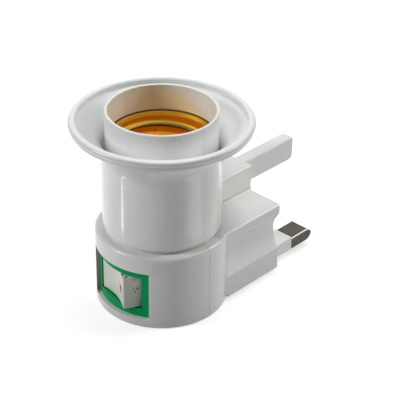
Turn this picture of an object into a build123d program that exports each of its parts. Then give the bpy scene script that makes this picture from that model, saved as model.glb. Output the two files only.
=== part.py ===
from build123d import *
import os
from math import cos, pi, radians, sin, tan

# Plug in lamp holder, in millimetres.
# Z = 0 is the underside of the base, the lamp's axis is Z, the switch faces -Y and the plug's pins point +Y.

# Lamp socket: radii
sheet = 0.45
thread_minor = 12.25
thread_depth = 1.05
thread_pitch = 3.62
thread_land = 0.9
thread_major = thread_minor + thread_depth
socket_mouth_radius = thread_major + 0.45
socket_neck_radius = thread_major + 0.05
socket_foot_radius = thread_major - 0.4

# Base drum and collar tube
wall = 1.75
floor_thickness = 1.8
socket_clearance = 0.66
collar_wall = 0.79
collar_length = 34.34
collar_edge_round = 0.25
shoulder_ledge = 0.7
shoulder_rise = 0.89
base_ledge = 2.65
base_height = 22.75
base_edge_round = 1.2
foot_edge_round = 0.5
seam_gap = 0.1
collar_bore = thread_major + sheet + socket_clearance
collar_radius = collar_bore + collar_wall
shoulder_radius = collar_radius + shoulder_ledge
base_radius = shoulder_radius + base_ledge
shoulder_height = base_height + shoulder_rise
collar_top = shoulder_height + collar_length

# Partition that carries the socket
seat_rise = 0.75
partition_thickness = 2.55
partition_bore = thread_minor - 1.05
retaining_rib = 0.46
retaining_rib_height = 0.8
seat_clearance = 0.05
seat_height = base_height + seat_rise
partition_underside = seat_height - partition_thickness

# Plug block
plug_reach = 12.15
plug_face = base_radius + plug_reach
block_root = 7.0
block_front = 9.2
block_notch_top = 2.4
scoop_front = 9.7
block_bottom = 1.37
block_wall = 2.2
block_floor = 1.85
flat_half_bottom = base_radius - 1.55
flat_half_top = base_radius - 1.95
flat_top = 7.7
lip_half = base_radius - 1.85
lip_bottom = base_height - 2.35
lip_round = 1.0
scoop_depths = (1.35, 2.05, 1.5, 0.25)
scoop_shares = (0.25, 0.5, 0.75, 0.917)
face_edge_round = 0.3
core_half_low = flat_half_top - 2.0
core_half_high = core_half_low - 2.0
core_step = flat_top + 0.3

# Upper block round the earth pin
upper_half = 5.5
upper_top = base_height + 8.12
upper_edge_round = 0.6
upper_foot_round = 0.8
sleeve_gap = 0.4

# Plug pins
pin_height = 4.06
pin_spread = 11.13
pin_wide = 6.33
pin_thick = 3.99
pin_length = 18.2
pin_metal_drop = 0.25
pin_edge_chamfer = 0.28
pin_sleeve_length = 9.15
pin_sleeve_rooting = 4.0
pin_neck_wide = 5.1
pin_neck_thick = 2.8
pin_rooting = 7.8
pin_shoulder_length = 1.5
pin_shoulder_wide = 7.8
pin_shoulder_thick = 3.6
pin_tail_length = 3.8
pin_tail_wide = 3.6
pin_tail_thick = 0.9
pin_tip_slope = (1.75, 1.45)
pin_tip_round = 2.2
pin_boss_inner = 6.5
pin_boss_top = 8.2
pin_clearance = 0.05
pin_root = plug_face - pin_rooting
earth_rise = 22.39
earth_height = pin_height + earth_rise
earth_wide = 4.0
earth_tall = 7.5
earth_length = 22.5
earth_tip_top_round = 1.0
earth_tip_bottom_round = 1.8
earth_edge_chamfer = 0.35

# Screws that join the shells
screw_spread = base_radius - 7.35
screw_height = partition_underside - 2.35
screw_pillar = 3.8
screw_well = 2.6
screw_well_floor = 6.0
screw_passage = 1.6
screw_boss = 2.4
screw_bore = 1.45
screw_bore_end = -10.0
screw_shank = 1.4
screw_tip = -9.0
screw_head = 2.45
screw_head_height = 1.9
screw_slot_width = 0.7
screw_slot_depth = 0.8

# Sleeve with the trumpet flange
sleeve_wall = 1.1
sleeve_clearance = 0.12
sleeve_foot_round = 0.4
flare_radius = 9.0
sleeve_radius = collar_radius + sleeve_clearance + sleeve_wall
rim_outer = sleeve_radius + 8.38
rim_underside = rim_outer - 0.4
rim_inner = rim_outer - 1.9
rim_top = collar_top - 2.38
rim_line = rim_top - 1.0
rim_low = rim_top - 2.3
flare_height = 11.3
flare_start = rim_top - flare_height

# Lamp socket: heights and contacts
insulator_thickness = 3.9
insulator_clearance = 0.16
socket_floor = seat_height + insulator_thickness
crest_count = 5
first_crest_rise = 18.9
first_crest = socket_floor + first_crest_rise
socket_neck_bottom = first_crest + 1.36
socket_mouth = first_crest + 3.8
socket_neck_top = socket_mouth - 0.8
rivet_spread = thread_minor - 2.95
rivet_shank = 1.0
rivet_head = 1.6
rivet_head_height = 0.5
rivet_hole_clearance = 0.05
socket_floor_bore = rivet_spread - rivet_head - 0.3
contact_width = 4.8
contact_foot_tail = -2.2
contact_bend = 4.6
contact_fold = (4.3, 2.3)
contact_crown = (-1.0, 3.55)
contact_tip = (-2.4, 3.1)
contact_bend_radius = 0.9
strap_outer = rivet_spread + 1.2
strap_inner = rivet_spread - 4.7
strap_half = 2.3
strap_lug_half = 1.5
strap_lug_bottom = seat_height - 2.6

# Switch window and bezel
recess_bottom = 2.6
recess_top = base_height - 5.17
recess_angle = 34.4
window_clearance = 0.2
bezel_clearance = 0.1
bezel_front = base_radius - 1.17
bezel_seat = base_radius - 2.12
bezel_seat_clearance = 0.03
bezel_margin = 2.41
opening_half = 7.9
opening_half_height = (recess_top - recess_bottom) / 2 - bezel_margin
skirt_wall = 0.9
switch_height = (recess_bottom + recess_top) / 2
pivot_y = 7.27 - base_radius
window_frame_half = opening_half + 3.4
window_frame_top = recess_top + 1.8
window_frame_back = pivot_y - 0.92
hook_reach = 0.6
hook_length = 1.4
hook_half = 1.6

# Switch body
skirt_end = pivot_y + 1.88
body_depth = 9.28
body_back = pivot_y + body_depth
body_floor = 1.2
body_wall = 1.0
body_rim_front = skirt_end - 1.2
body_rim_back = skirt_end + 0.8
body_rim_wall = 0.5
body_rim_clearance = 0.05
stop_start = 4.2
stop_end = 5.8
stop_half = 1.8

# Rocker, in its own frame: pivot at the origin, front towards -Y
rocker_tilt = 16.5
rocker_gap = 0.2
rocker_half_height = opening_half_height - rocker_gap
rocker_side_gap = 0.35
rocker_chamfer = 1.42
rocker_half_width = opening_half - rocker_side_gap
rocker_corner = (rocker_half_width - rocker_chamfer, -6.09)
rocker_hollow = -5.04
rocker_hip = (rocker_half_width, -1.35)
rocker_skirt = (rocker_half_width, -0.3)
rocker_ear = (2.4, 1.6)
rocker_wall = 1.0
rocker_ridge_round = 0.3
trunnion_radius = 1.1
trunnion_length = 1.0
trunnion_clearance = 0.05
stem_radius = 1.95
stem_bore = 1.25
stem_root = -4.3
stem_bottom = -3.6
stem_end = 3.2
plunger_radius = 1.15
plunger_start = 1.9
plunger_reach = 6.3
spring_radius = 0.9
spring_wire = 0.15
spring_turns = 5

# See-saw contact and terminals
seesaw_y = pivot_y + 6.68
seesaw_half = 5.8
seesaw_half_width = 1.6
seesaw_thickness = 0.5
seesaw_wing = 8.0
seesaw_tilt = 7.0
contact_place = 5.0
button_radius = 1.1
button_height = 0.3
button_shank = 0.5
fixed_button_height = 0.3
fulcrum_clearance = 0.15
blade_thickness = 0.8
blade_half = 1.5
blade_shoulder_half = 2.2
blade_end = body_back + 5.0
blade_clearance = 0.05
blade_hole = 0.8
blade_hole_from_end = 1.3
plate_half = 1.2
plate_half_width = 1.8
plate_thickness = 0.5

# Leads
lead_radius = 0.9
lead_rise = 0.24
tail_end = pin_root - pin_shoulder_length - pin_tail_length
lead_start = pin_height + lead_rise
lug = -strap_inner - sheet / 2
rivet_foot = seat_height - rivet_head_height
live_bends = ((pin_spread, tail_end - 5.0, 4.4), (7.6, 9.2, 7.4), (0, blade_end + 4.4, switch_height))
switched_bends = (
    (-contact_place, blade_end + 3.4, switch_height), (-1.8, 7.2, rivet_foot - 9.0),
    (0, 3.6, rivet_foot - 4.8), (0, 0, rivet_foot - 3.0),
)
neutral_bends = (
    (-pin_spread, tail_end - 4.4, 4.4), (-9.4, 10.4, 9.0), (-6.2, 7.2, strap_lug_bottom - 6.9),
    (lug, 0, strap_lug_bottom - 3.5),
)


def turned(*outline):
    """Solid of revolution about Z from an (r, z) outline."""
    face = make_face(Polyline(*outline, close=True))
    return revolve(Plane.XZ * face, Axis.Z)


def block(x, y, z):
    """Box between pairs of limits."""
    size = [high - low for low, high in (x, y, z)]
    return Pos(*[(low + high) / 2 for low, high in (x, y, z)]) * Box(*size)


def along_y(face, start, end):
    """Extrude a face drawn in (x, z) from one y to another."""
    return extrude(Pos(0, start, 0) * (Plane.XZ * face), amount=end - start, dir=(0, 1, 0))


def rod_y(radius, x, z, start, end):
    """Cylinder along Y."""
    return along_y(Pos(x, z) * Circle(radius), start, end)


def rod_z(radius, x, y, start, end):
    """Cylinder along Z."""
    return extrude(Pos(x, y, start) * Circle(radius), amount=end - start)


def edges_at(shape, axis, place, slack=0.01):
    """Edges whose whole length lies at one coordinate."""
    return shape.edges().filter_by_position(axis, place - slack, place + slack)


def mirrored_pair(make):
    """The same piece on both sides of the YZ plane."""
    return [make(side) for side in (-1, 1)]


def housing_turned():
    """Base drum, partition and collar tube before they are split."""
    rib_bottom = socket_floor + seat_clearance
    rib_top = rib_bottom + retaining_rib_height
    rib_radius = collar_bore - retaining_rib
    inner = base_radius - wall
    body = turned(
        (0, 0), (base_radius, 0), (base_radius, base_height), (shoulder_radius, base_height),
        (shoulder_radius, shoulder_height), (collar_radius, shoulder_height), (collar_radius, collar_top),
        (collar_bore, collar_top), (collar_bore, rib_top), (rib_radius, rib_top),
        (rib_radius, rib_bottom), (collar_bore, rib_bottom), (collar_bore, seat_height),
        (partition_bore, seat_height), (partition_bore, partition_underside), (inner, partition_underside),
        (inner, floor_thickness), (0, floor_thickness),
    )
    ledge = edges_at(body, Axis.Z, base_height).sort_by(SortBy.RADIUS)[-1]
    body = fillet(ledge, base_edge_round)
    foot = [edge for edge in edges_at(body, Axis.Z, 0) if edge.radius > shoulder_radius]
    body = fillet(foot, foot_edge_round)
    return fillet(edges_at(body, Axis.Z, collar_top), collar_edge_round)


def half_space(side):
    """Everything on one side of the seam, -1 for the front and 1 for the rear."""
    reach = 3 * plug_face
    near, far = side * seam_gap / 2, side * reach
    return block((-reach, reach), (min(near, far), max(near, far)), (-reach, reach))


def window_sector(clearance):
    """Wedge round the window, with sides that point at the lamp's axis."""
    reach = 2 * base_radius
    low, high = recess_bottom + clearance, recess_top - clearance
    apex = -clearance / sin(radians(recess_angle))
    across = (reach + apex) * tan(radians(recess_angle))
    face = make_face(Polyline((-across, -reach), (across, -reach), (0, apex), close=True))
    return extrude(Pos(0, 0, low) * face, amount=high - low)


def front_half(turned_body):
    """Front shell with the switch window and the screw bosses."""
    shell = turned_body & half_space(-1)
    inner = base_radius - wall
    frame = block(
        (-window_frame_half, window_frame_half), (-base_radius, window_frame_back),
        (floor_thickness / 2, window_frame_top),
    )
    shell += frame & Cylinder(inner + wall / 2, 3 * base_height)
    for x in (-screw_spread, screw_spread):
        post = rod_y(screw_boss, x, screw_height, -base_radius, -seam_gap / 2)
        shell += post & Cylinder(inner + wall / 2, 3 * base_height)
        shell -= rod_y(screw_bore, x, screw_height, screw_bore_end, seam_gap)
    shell -= window_sector(0) - Cylinder(bezel_seat, 3 * base_height)
    window_half = opening_half + skirt_wall + window_clearance
    window_half_height = opening_half_height + skirt_wall + window_clearance
    shell -= block(
        (-window_half, window_half), (-2 * base_radius, window_frame_back + wall),
        (switch_height - window_half_height, switch_height + window_half_height),
    )
    return shell


def block_outline(scooped):
    """Outline of the wide plug block in (x, z), with or without its finger scoops."""
    top = base_height
    side = Polyline((0, block_bottom), (flat_half_bottom, block_bottom), (flat_half_top, flat_top))
    if scooped:
        rise = lip_bottom - flat_top
        hollow = [
            (lip_half - depth, flat_top + share * rise)
            for depth, share in zip(scoop_depths, scoop_shares)
        ]
        side += Spline((flat_half_top, flat_top), *hollow, (lip_half, lip_bottom))
    else:
        side += Line((flat_half_top, flat_top), (lip_half, lip_bottom))
    shrink = lip_round * (1 - cos(radians(45)))
    side += Line((lip_half, lip_bottom), (lip_half, top - lip_round))
    side += ThreePointArc(
        (lip_half, top - lip_round), (lip_half - shrink, top - shrink), (lip_half - lip_round, top))
    side += Polyline((lip_half - lip_round, top), (0, top), (0, block_bottom))
    half = make_face(side)
    return half + mirror(half, Plane.YZ)


def upper_outline():
    """Outline of the upper block in (x, z), with a hollow round at its foot."""
    foot = upper_foot_round
    low, high = base_height, upper_top
    mid = foot * (1 - cos(radians(45)))
    side = Polyline((0, low - foot), (upper_half + foot, low - foot), (upper_half + foot, low))
    side += ThreePointArc((upper_half + foot, low), (upper_half + mid, low + mid), (upper_half, low + foot))
    side += Polyline((upper_half, low + foot), (upper_half, high), (0, high), (0, low - foot))
    half = make_face(side)
    return half + mirror(half, Plane.YZ)


def earth_pin():
    """Plastic earth pin, moulded with the rear shell."""
    top, bottom = earth_height + earth_tall / 2, earth_height - earth_tall / 2
    tip = plug_face + earth_length
    root = plug_face - block_wall
    side = Polyline((root, bottom), (tip, bottom), (tip, top), (root, top), close=True)
    pin = extrude(Plane.YZ * make_face(side), amount=earth_wide / 2, both=True)
    pin = fillet(edges_at(pin, Axis.Y, tip).filter_by(Axis.X).sort_by(Axis.Z)[-1], earth_tip_top_round)
    pin = fillet(edges_at(pin, Axis.Y, tip).filter_by(Axis.X).sort_by(Axis.Z)[0], earth_tip_bottom_round)
    return chamfer(edges_at(pin, Axis.Y, tip).filter_by(Axis.Z), earth_edge_chamfer)


def rear_half(turned_body):
    """Rear shell with the plug block, the pin bosses, the screw wells and the earth pin."""
    plug = along_y(block_outline(True) + upper_outline(), scoop_front, plug_face)
    plug = fillet(edges_at(plug, Axis.Z, upper_top).filter_by(Axis.Y), upper_edge_round)
    plug = fillet(edges_at(plug, Axis.Y, plug_face), face_edge_round)
    plug -= rod_z(sleeve_radius + sleeve_gap, 0, 0, base_height, 2 * base_height)
    notch = block((-base_radius, base_radius), (0, block_front), (0, block_notch_top))
    plug += along_y(block_outline(False), block_root, scoop_front) - notch
    shell = turned_body & half_space(1)
    shell += plug - rod_z(base_radius - wall, 0, 0, 0, base_height - wall)
    front, back = seam_gap / 2, plug_face - block_wall
    floor = block_bottom + block_floor
    shell -= block((-core_half_low, core_half_low), (front, back), (floor, core_step))
    shell -= block((-core_half_high, core_half_high), (front, back), (core_step, partition_underside))
    for side in (-1, 1):
        x = side * screw_spread
        shell += rod_y(screw_pillar, x, screw_height, front, plug_face - block_wall / 2)
        shell -= rod_y(screw_well, x, screw_height, screw_well_floor, 2 * plug_face)
        shell -= rod_y(screw_passage, x, screw_height, 0, 2 * plug_face)
        x = side * pin_spread
        shell += block(
            sorted((side * pin_boss_inner, side * (core_half_low + wall / 2))),
            (pin_root, plug_face - block_wall / 2), (floor - block_floor / 2, pin_boss_top),
        )
        room = 2 * pin_clearance
        shell -= pin_bar(x, pin_wide + room, pin_thick + room, pin_root, 2 * plug_face)
        shell -= pin_bar(x, pin_shoulder_wide + room, pin_shoulder_thick + room,
                         pin_root - 2 * pin_shoulder_length, pin_root)
    return shell + earth_pin()


def pin_bar(x, wide, thick, start, end):
    """Rectangular bar on the axis of a flat pin."""
    return block((x - wide / 2, x + wide / 2), (start, end), (pin_height - thick / 2, pin_height + thick / 2))


def flat_pin(x):
    """Metal pin: bare end, narrowed neck under the sleeve, seat in the shell, shoulder and solder tail."""
    bare, tip = plug_face + pin_sleeve_length, plug_face + pin_length
    bottom, top = pin_height - pin_thick / 2, pin_height + pin_thick / 2 - pin_metal_drop
    slope_length, slope_height = pin_tip_slope
    side = make_face(Polyline(
        (bare, bottom), (tip, bottom), (tip, top - slope_height), (tip - slope_length, top), (bare, top),
        close=True))
    pin = Pos(x, 0, 0) * extrude(Plane.YZ * side, amount=pin_wide / 2, both=True)
    pin = fillet(edges_at(pin, Axis.Y, tip).filter_by(Axis.X).sort_by(Axis.Z)[0], pin_tip_round)
    pin = chamfer(pin.edges().filter_by(Axis.Y).group_by(Axis.Z)[-1], pin_edge_chamfer)
    sleeve_root = plug_face - pin_sleeve_rooting
    pin += pin_bar(x, pin_neck_wide, pin_neck_thick, sleeve_root, bare)
    pin += pin_bar(x, pin_wide, pin_thick, pin_root, sleeve_root)
    shoulder = pin_root - pin_shoulder_length
    pin += pin_bar(x, pin_shoulder_wide, pin_shoulder_thick, shoulder, pin_root)
    return pin + pin_bar(x, pin_tail_wide, pin_tail_thick, shoulder - pin_tail_length, shoulder)


def flat_pin_sleeve(x):
    """Insulating sleeve moulded round the pin's neck."""
    start, end = plug_face - pin_sleeve_rooting, plug_face + pin_sleeve_length
    return pin_bar(x, pin_wide, pin_thick, start, end) - pin_bar(x, pin_neck_wide, pin_neck_thick, start, end)


def case_screw(side):
    """Self-tapping screw from the bottom of its well into the front shell's boss."""
    x = side * screw_spread
    screw = rod_y(screw_shank, x, screw_height, screw_tip, screw_well_floor)
    top = screw_well_floor + screw_head_height
    head = rod_y(screw_head, x, screw_height, screw_well_floor, top)
    head = fillet(edges_at(head, Axis.Y, top), screw_head_height / 3)
    for wide, tall in ((screw_slot_width, screw_head), (screw_head, screw_slot_width)):
        head -= block((x - wide / 2, x + wide / 2), (top - screw_slot_depth, top + 1),
                      (screw_height - tall / 2, screw_height + tall / 2))
    return screw + head


def flange_sleeve():
    """Sleeve and trumpet flange in one moulding, open from top to bottom."""
    bore = sleeve_radius - sleeve_wall
    centre = (sleeve_radius + flare_radius, flare_start)

    def on_flare(radius, angle):
        turn = radians(angle)
        return (centre[0] - radius * cos(turn), centre[1] + radius * sin(turn))

    def angle_at(radius, r):
        low, high = 0.0, 90.0
        while high - low > 1e-6:
            middle = (low + high) / 2
            low, high = (middle, high) if on_flare(radius, middle)[0] < r else (low, middle)
        return low

    outer_end = angle_at(flare_radius, rim_underside)
    inner_radius = flare_radius + sleeve_wall
    inner_end = angle_at(inner_radius, rim_inner)
    under = on_flare(flare_radius, outer_end)
    dish = on_flare(inner_radius, inner_end)
    outline = Polyline(
        (bore, shoulder_height), (sleeve_radius - sleeve_foot_round, shoulder_height),
        (sleeve_radius, shoulder_height + sleeve_foot_round), (sleeve_radius, flare_start),
    )
    outline += ThreePointArc((sleeve_radius, flare_start), on_flare(flare_radius, outer_end / 2), under)
    outline += Polyline(under, (rim_underside, rim_low), (rim_outer, rim_line))
    crest = (rim_outer - 1.0, rim_top)
    outline += ThreePointArc((rim_outer, rim_line), (rim_outer - 0.3, rim_line + 0.68), crest)
    outline += Polyline(crest, (rim_inner + 0.25, rim_top), (rim_inner, rim_top - 0.25), dish)
    outline += ThreePointArc(dish, on_flare(inner_radius, inner_end / 2), (bore, flare_start))
    outline += Line((bore, flare_start), (bore, shoulder_height))
    return revolve(Plane.XZ * make_face(outline), Axis.Z)


def screw_shell():
    """Sheet metal socket with its rolled thread drawn as rings of the thread's section."""
    slope = (thread_pitch - 2 * thread_land) / 2
    wall_line = [
        (socket_mouth_radius, socket_mouth), (socket_neck_radius, socket_neck_top),
        (socket_neck_radius, socket_neck_bottom),
    ]
    for turn in range(crest_count):
        crest = first_crest - turn * thread_pitch
        wall_line += [(thread_minor, crest + thread_land / 2), (thread_minor, crest - thread_land / 2)]
        if turn < crest_count - 1:
            groove = crest - thread_land / 2 - slope
            wall_line += [(thread_major, groove), (thread_major, groove - thread_land)]
    foot_top = crest - thread_land / 2 - slope
    wall_line += [(socket_foot_radius, foot_top), (socket_foot_radius, socket_floor + sheet)]
    outer = [(r + sheet, z) for r, z in reversed(wall_line[:-1])]
    body = turned(*wall_line, (socket_floor_bore, socket_floor + sheet), (socket_floor_bore, socket_floor),
                  (socket_foot_radius + sheet, socket_floor), *outer)
    for x in (-rivet_spread, rivet_spread):
        body -= rod_z(rivet_shank + rivet_hole_clearance, x, 0, socket_floor - 1, socket_floor + 2 * sheet)
    return body


def socket_insulator():
    """Disc with three rivet holes and a slot for the neutral strap."""
    radius = collar_bore - insulator_clearance
    disc = rod_z(radius, 0, 0, seat_height, socket_floor)
    disc = chamfer(edges_at(disc, Axis.Z, socket_floor), 2 * insulator_clearance)
    gap = insulator_clearance / 2
    disc -= block((-strap_outer - gap, -strap_inner + gap), (-strap_half - gap, strap_half + gap),
                  (0, seat_height + sheet))
    for x in (-rivet_spread, 0, rivet_spread):
        disc -= rod_z(rivet_shank + rivet_hole_clearance, x, 0, 0, collar_top)
    return disc


def contact_rivet(x):
    """Rivet through the insulator, with a head at each end."""
    bottom, top = seat_height, socket_floor + sheet
    rivet = rod_z(rivet_shank, x, 0, bottom, top)
    upper = rod_z(rivet_head, x, 0, top, top + rivet_head_height)
    lower = rod_z(rivet_head, x, 0, bottom - rivet_head_height, bottom)
    upper = fillet(edges_at(upper, Axis.Z, top + rivet_head_height), rivet_head_height / 2)
    return rivet + upper + lower


def centre_contact():
    """Folded spring tongue that presses on the lamp's tip."""
    middle = socket_floor + sheet / 2
    points = [(contact_foot_tail, 0, middle), (contact_bend, 0, middle)]
    points += [(x, 0, socket_floor + rise) for x, rise in (contact_fold, contact_crown, contact_tip)]
    path = FilletPolyline(*points, radius=contact_bend_radius)
    start = Plane(origin=path @ 0, x_dir=(0, 1, 0), z_dir=path % 0)
    tongue = sweep(start * Rectangle(contact_width, sheet), path=path)
    hole = rod_z(rivet_shank + rivet_hole_clearance, 0, 0, socket_floor - 1, socket_floor + 2 * sheet)
    return tongue - hole


def neutral_strap():
    """Strap under the insulator, riveted to the screw shell, with a lug for its lead."""
    low, high = seat_height, seat_height + sheet
    strap = block((-strap_outer, -strap_inner), (-strap_half, strap_half), (low, high))
    strap += block((-strap_inner - sheet, -strap_inner), (-strap_lug_half, strap_lug_half),
                   (strap_lug_bottom, high))
    return strap - rod_z(rivet_shank + rivet_hole_clearance, -rivet_spread, 0, low - 1, high + 1)


def around_switch(half, half_height, start, end):
    """Box centred on the switch's axis."""
    return block((-half, half), (start, end), (switch_height - half_height, switch_height + half_height))


def switch_bezel():
    """Curved frame with a skirt that holds the rocker's trunnions and snaps behind the window."""
    plate = window_sector(bezel_clearance) - Cylinder(bezel_seat + bezel_seat_clearance, 3 * base_height)
    outer_half, outer_height = opening_half + skirt_wall, opening_half_height + skirt_wall
    body = plate + around_switch(outer_half, outer_height, -base_radius, skirt_end)
    body = body & Cylinder(bezel_front, 3 * base_height)
    body -= around_switch(opening_half, opening_half_height, -2 * base_radius, 0)
    body -= rod_z(trunnion_radius + trunnion_clearance, 0, pivot_y, 0, base_height)
    hook_front = window_frame_back + bezel_clearance
    for side in (-1, 1):
        wedge = make_face(Polyline(
            (side * outer_half, hook_front), (side * (outer_half + hook_reach), hook_front),
            (side * outer_half, hook_front + hook_length), close=True))
        body += extrude(Pos(0, 0, switch_height - hook_half) * wedge, amount=2 * hook_half)
    return body


def switch_body():
    """Box behind the bezel, with slots for the terminals and a stop for the see-saw."""
    outer_half, outer_height = opening_half + skirt_wall, opening_half_height + skirt_wall
    inner_half, inner_height = outer_half - body_wall, outer_height - body_wall
    rim_half, rim_height = outer_half + body_rim_clearance, outer_height + body_rim_clearance
    body = around_switch(outer_half, outer_height, skirt_end, body_back)
    body += around_switch(rim_half + body_rim_wall, rim_height + body_rim_wall, body_rim_front, body_rim_back)
    body -= around_switch(rim_half, rim_height, body_rim_front - 1, skirt_end)
    floor = body_back - body_floor
    body -= around_switch(inner_half, inner_height, skirt_end - 1, floor)
    slot_half = blade_half + blade_clearance
    for x in (0, -contact_place):
        body -= block((x - blade_thickness / 2 - blade_clearance, x + blade_thickness / 2 + blade_clearance),
                      (floor - 1, body_back + 1), (switch_height - slot_half, switch_height + slot_half))
    stop_top = floor - plate_thickness - plate_thickness
    return body + block((stop_start, stop_end), (stop_top, floor),
                        (switch_height - stop_half, switch_height + stop_half))


def blade(x, start):
    """Terminal blade through the switch body's floor, with a hole for its lead."""
    body = block((x - blade_thickness / 2, x + blade_thickness / 2), (start, blade_end),
                 (switch_height - blade_half, switch_height + blade_half))
    hole = Pos(x, blade_end - blade_hole_from_end, switch_height) * Rot(0, 90, 0)
    return body - hole * Cylinder(blade_hole, 2 * blade_thickness)


def common_terminal():
    """Blade whose upper edge is the see-saw's fulcrum."""
    top = seesaw_y + seesaw_thickness / 2 + fulcrum_clearance
    floor = body_back - body_floor
    shoulder = block((-blade_thickness / 2, blade_thickness / 2), (top, floor),
                     (switch_height - blade_shoulder_half, switch_height + blade_shoulder_half))
    shoulder = fillet(edges_at(shoulder, Axis.Y, top).filter_by(Axis.Z), blade_thickness / 3)
    return shoulder + blade(0, floor)


def switched_terminal():
    """Blade with a plate that carries the fixed contact."""
    floor = body_back - body_floor
    plate = block(
        (-contact_place - plate_half, -contact_place + plate_half), (floor - plate_thickness, floor),
        (switch_height - plate_half_width, switch_height + plate_half_width),
    )
    body = plate + blade(-contact_place, floor)
    return body - rod_y(button_shank, -contact_place, switch_height, floor - 1, floor - plate_thickness / 3)


def fixed_contact():
    """Contact button on the switched terminal."""
    floor = body_back - body_floor
    face = floor - plate_thickness
    button = rod_y(button_radius, -contact_place, switch_height, face - fixed_button_height, face)
    return button + rod_y(button_shank, -contact_place, switch_height, face, floor - plate_thickness / 3)


def seesaw_placed(shape):
    """Move a see-saw piece from its own frame to its place with the switch off."""
    return Pos(0, seesaw_y, switch_height) * Rot(0, 0, seesaw_tilt) * shape


def wing_rise(x):
    """How far the see-saw's wings stand forward at a distance from its axis."""
    return abs(x) * tan(radians(seesaw_wing))


def seesaw_contact():
    """Bar with two raised wings that rocks on the common terminal."""
    half = seesaw_thickness / 2
    rise = wing_rise(seesaw_half)
    face = make_face(Polyline(
        (-seesaw_half, -half - rise), (0, -half), (seesaw_half, -half - rise),
        (seesaw_half, half - rise), (0, half), (-seesaw_half, half - rise), close=True))
    bar = extrude(Pos(0, 0, -seesaw_half_width) * face, amount=2 * seesaw_half_width)
    bar = fillet(bar.edges().filter_by(Axis.Y, tolerance=1), seesaw_half_width / 3)
    return seesaw_placed(bar - on_wing(rod_y(button_shank, 0, 0, -2, 2)))


def on_wing(shape):
    """Place a piece on the see-saw's left wing."""
    return Pos(-contact_place, -wing_rise(contact_place), 0) * Rot(0, 0, seesaw_wing) * shape


def moving_contact():
    """Contact button on the see-saw's wing."""
    half = seesaw_thickness / 2
    button = rod_y(button_radius, 0, 0, half, half + button_height)
    return seesaw_placed(on_wing(button + rod_y(button_shank, 0, 0, -half, half)))


def rocker_placed(shape):
    """Move a rocker piece from its own frame to its place with the switch off."""
    return Pos(0, pivot_y, switch_height) * Rot(0, 0, -rocker_tilt) * shape


def rocker():
    """Hollow rocker with a concave face, two trunnions and a stem for the plunger."""
    (corner_x, corner_y), (hip_x, hip_y) = rocker_corner, rocker_hip
    (skirt_x, skirt_y), (ear_x, ear_y) = rocker_skirt, rocker_ear
    face = make_face(
        ThreePointArc((-corner_x, corner_y), (0, rocker_hollow), (corner_x, corner_y))
        + Polyline((corner_x, corner_y), (hip_x, hip_y), (skirt_x, skirt_y), (ear_x, ear_y), (-ear_x, ear_y),
                   (-skirt_x, skirt_y), (-hip_x, hip_y), (-corner_x, corner_y)))
    t = rocker_wall
    inside = make_face(
        ThreePointArc((-corner_x + t, corner_y + t), (0, rocker_hollow + t), (corner_x - t, corner_y + t))
        + Polyline((corner_x - t, corner_y + t), (hip_x - t, hip_y), (hip_x - t, ear_y + t),
                   (-hip_x + t, ear_y + t), (-hip_x + t, hip_y), (-corner_x + t, corner_y + t)))
    body = extrude(Pos(0, 0, -rocker_half_height) * face, amount=2 * rocker_half_height)
    ridge = [edge for edge in body.edges().filter_by(Axis.Z) if edge.center().Y < corner_y + 0.1]
    body = fillet(ridge, rocker_ridge_round)
    body -= extrude(Pos(0, 0, t - rocker_half_height) * inside, amount=2 * (rocker_half_height - t))
    reach = rocker_half_height + trunnion_length
    body += rod_z(trunnion_radius, 0, 0, -reach, -rocker_half_height)
    body += rod_z(trunnion_radius, 0, 0, rocker_half_height, reach)
    body += rod_y(stem_radius, 0, 0, stem_root, stem_end)
    return rocker_placed(body - rod_y(stem_bore, 0, 0, stem_bottom, 2 * stem_end))


def plunger():
    """Round-nosed plunger in the rocker's stem."""
    nose = plunger_reach - plunger_radius
    body = rod_y(plunger_radius, 0, 0, plunger_start, nose) + Pos(0, nose, 0) * Sphere(plunger_radius)
    return rocker_placed(body)


def rocker_spring():
    """Coil spring between the stem's bottom and the plunger."""
    low, high = stem_bottom + spring_wire, plunger_start - spring_wire
    height = high - low
    path = Helix(pitch=height / spring_turns, height=height, radius=spring_radius)
    section = Plane(origin=path @ 0, z_dir=path % 0) * Circle(spring_wire)
    coil = sweep(section, path=path, is_frenet=True)
    return rocker_placed(Pos(0, low, 0) * Rot(-90, 0, 0) * coil)


def bend_radii(points):
    """Largest tidy bend at each corner of a route, from its shorter run and its turn."""
    radii = []
    for before, corner, after in zip(points, points[1:], points[2:]):
        first, second = Vector(*corner) - Vector(*before), Vector(*after) - Vector(*corner)
        shorter = min(first.length, second.length)
        radii.append(0.45 * shorter / tan(radians(first.get_angle(second)) / 2))
    return radii


def lead(name, *points):
    """Insulated wire along straight runs and tangent arcs."""
    radii = bend_radii(points)
    path = FilletPolyline(*points, radius=radii)
    print(name, "length", round(path.length, 1), "bends", [round(r, 1) for r in radii])
    start = Plane(origin=path @ 0, z_dir=path % 0)
    wire = sweep(start * Circle(lead_radius), path=path)
    section = pi * lead_radius**2
    print(name, "volume over section times length", round(wire.volume / (section * path.length), 4))
    return wire


turned_body = housing_turned()

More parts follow.
